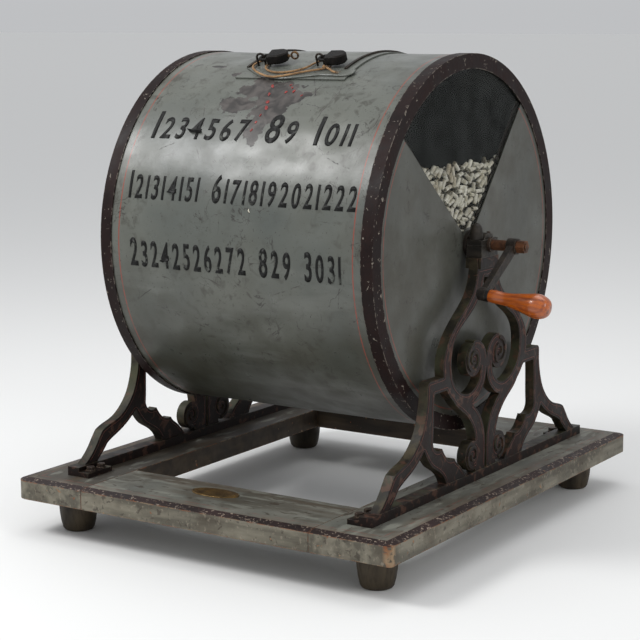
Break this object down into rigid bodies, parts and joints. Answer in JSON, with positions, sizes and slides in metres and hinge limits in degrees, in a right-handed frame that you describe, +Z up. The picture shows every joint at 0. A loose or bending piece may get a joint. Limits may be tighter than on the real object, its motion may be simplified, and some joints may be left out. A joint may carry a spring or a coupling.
{
  "type": "lottery draw drum",
  "caption": "Hand-cranked draw drum with a glazed end window, padlocked hatch and turning wooden grip, on cast scroll trestles and a framed, footed wooden base.",
  "frame": {"origin": "on the floor under the middle of the machine's bounding box, crank included", "axes": "+X along the drum's shaft towards the crank, -Y towards the side with the hatch's lip and padlocks, +Z up"},
  "size_m": [0.8016, 0.825, 0.7783],
  "materials": {
    "base_paint": "matte",
    "foot_wood": "matte",
    "bolt_steel": "matte",
    "brass": "satin",
    "trestle_iron": "satin",
    "bearing_iron": "satin",
    "ticket_tubes": "matte",
    "drum_enamel": "satin",
    "rim_enamel": "satin",
    "window_glass": "gloss",
    "dark_steel": "satin",
    "rusty_iron": "matte",
    "grip_wood": "gloss",
    "ferrule_iron": "satin",
    "lock_iron": "satin",
    "key_brass": "satin",
    "twine": "matte"
  },
  "bodies": {
    "stand": {"base_board_left": "base_paint", "base_board_right": "base_paint", "base_board_front": "base_paint", "base_board_back": "base_paint", "board_dowels": "foot_wood", "foot_front_left": "foot_wood", "foot_front_right": "foot_wood", "foot_back_left": "foot_wood", "foot_back_right": "foot_wood", "trestle_screws": "bolt_steel", "oval_plate": "brass", "oval_plate_pins": "brass", "trestle_left": "trestle_iron", "trestle_right": "trestle_iron", "bearing_shell_left": "bearing_iron", "bearing_shell_right": "bearing_iron", "bearing_cap_left": "bearing_iron", "bearing_cap_right": "bearing_iron", "cap_studs": "bolt_steel", "cap_nuts": "bearing_iron", "token_heap": "ticket_tubes"},
    "drum": {"drum_shell": "drum_enamel", "rim_ring_left": "rim_enamel", "rim_ring_right": "rim_enamel", "end_disc_left": "drum_enamel", "end_disc_right": "drum_enamel", "window_glass": "window_glass", "window_beads": "dark_steel", "hub_left": "dark_steel", "hub_right": "dark_steel", "hub_rivets": "dark_steel", "drum_shaft": "rusty_iron", "shaft_collars": "bolt_steel", "crank_arm": "dark_steel", "crank_nut": "rusty_iron", "grip_spindle": "dark_steel", "hinge_leaf_drum": "dark_steel", "hinge_pin": "dark_steel"},
    "grip": {"grip_handle": "grip_wood", "grip_ferrule": "ferrule_iron"},
    "hatch": {"hatch_plate": "drum_enamel", "hatch_lip": "drum_enamel", "hatch_beads": "dark_steel", "hinge_leaf_hatch": "dark_steel", "staple_left": "dark_steel", "staple_right": "dark_steel", "twine": "twine", "twine_knot": "twine"},
    "shackle_left": {"shackle_left": "lock_iron"},
    "shackle_right": {"shackle_right": "lock_iron"},
    "lock_left": {"lock_case_left": "lock_iron", "lock_rivet_left": "lock_iron"},
    "lock_right": {"lock_case_right": "lock_iron", "lock_rivet_right": "lock_iron"},
    "key": {"key": "key_brass"}
  },
  "joints": [
    {"name": "drum_spin", "type": "hinge", "parent": "stand", "child": "drum", "pos_m": [0, 0, 0.472], "axis": [1, 0, 0], "continuous": true},
    {"name": "grip_spin", "type": "hinge", "parent": "drum", "child": "grip", "pos_m": [0.35425, -0.099, 0.40083], "axis": [0.9925, 0, -0.1219], "continuous": true},
    {"name": "hatch_swing", "type": "hinge", "parent": "drum", "child": "hatch", "pos_m": [-0.03675, 0.14714, 0.73745], "axis": [-1, 0, 0], "range_deg": [0, 100]},
    {"name": "padlock_left_swing", "type": "hinge", "parent": "hatch", "child": "shackle_left", "pos_m": [-0.11325, -0.11436, 0.76381], "axis": [0.2079, -0.9107, -0.3569], "range_deg": [0, 100]},
    {"name": "padlock_right_swing", "type": "hinge", "parent": "hatch", "child": "shackle_right", "pos_m": [-0.00175, -0.11123, 0.7648], "axis": [0.0698, -0.9325, -0.3542], "range_deg": [0, 100]},
    {"name": "lock_left_open", "type": "hinge", "parent": "shackle_left", "child": "lock_left", "pos_m": [-0.09491, -0.10197, 0.76867], "axis": [0, -0.3649, 0.9311], "range_deg": [0, 40]},
    {"name": "lock_right_open", "type": "hinge", "parent": "shackle_right", "child": "lock_right", "pos_m": [0.01774, -0.10156, 0.76848], "axis": [0, -0.3551, 0.9348], "range_deg": [0, 40]},
    {"name": "key_turn", "type": "hinge", "parent": "lock_left", "child": "key", "pos_m": [-0.05476, -0.10278, 0.76835], "axis": [0.9781, 0.1936, 0.0759], "range_deg": [0, 90]}
  ]
}
